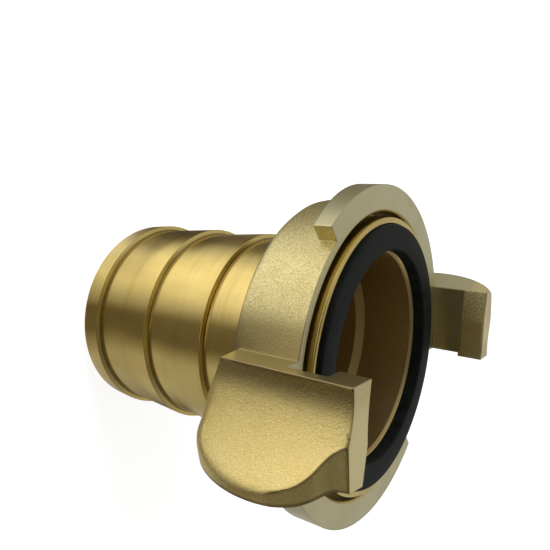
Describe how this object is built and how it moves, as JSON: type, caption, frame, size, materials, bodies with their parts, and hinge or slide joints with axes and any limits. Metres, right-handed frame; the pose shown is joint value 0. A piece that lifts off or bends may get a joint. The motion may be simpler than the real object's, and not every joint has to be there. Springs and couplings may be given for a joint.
{
  "type": "quarter turn fire hose coupling",
  "caption": "Hose coupling half: swivelling claw ring with hooked ears on a barbed brass hose tail, with a flat rubber seal in its mouth.",
  "frame": {"origin": "centre of the hose tail's flat end, on the coupling's axis", "axes": "+Z along the coupling's axis, from the hose tail to the mouth; +X through the middle of one claw"},
  "size_m": [0.089, 0.0696, 0.0782],
  "materials": {
    "turned_brass": "turned, bright, with fine circular tool marks",
    "cast_brass": "fine sand-cast grain, with machined faces",
    "seal_rubber": "smooth black moulded rubber, slightly satin",
    "spring_wire": "plain drawn stainless wire, square in section"
  },
  "bodies": {
    "tail": {"hose_tail": "turned_brass", "seal_ring": "seal_rubber", "snap_wire": "spring_wire"},
    "ring": {"claw_ring": "cast_brass"}
  },
  "joints": [
    {"name": "ring_swivel", "type": "hinge", "parent": "tail", "child": "ring", "pos_m": [0, 0, 0.055], "axis": [0, 0, 1], "continuous": true}
  ]
}
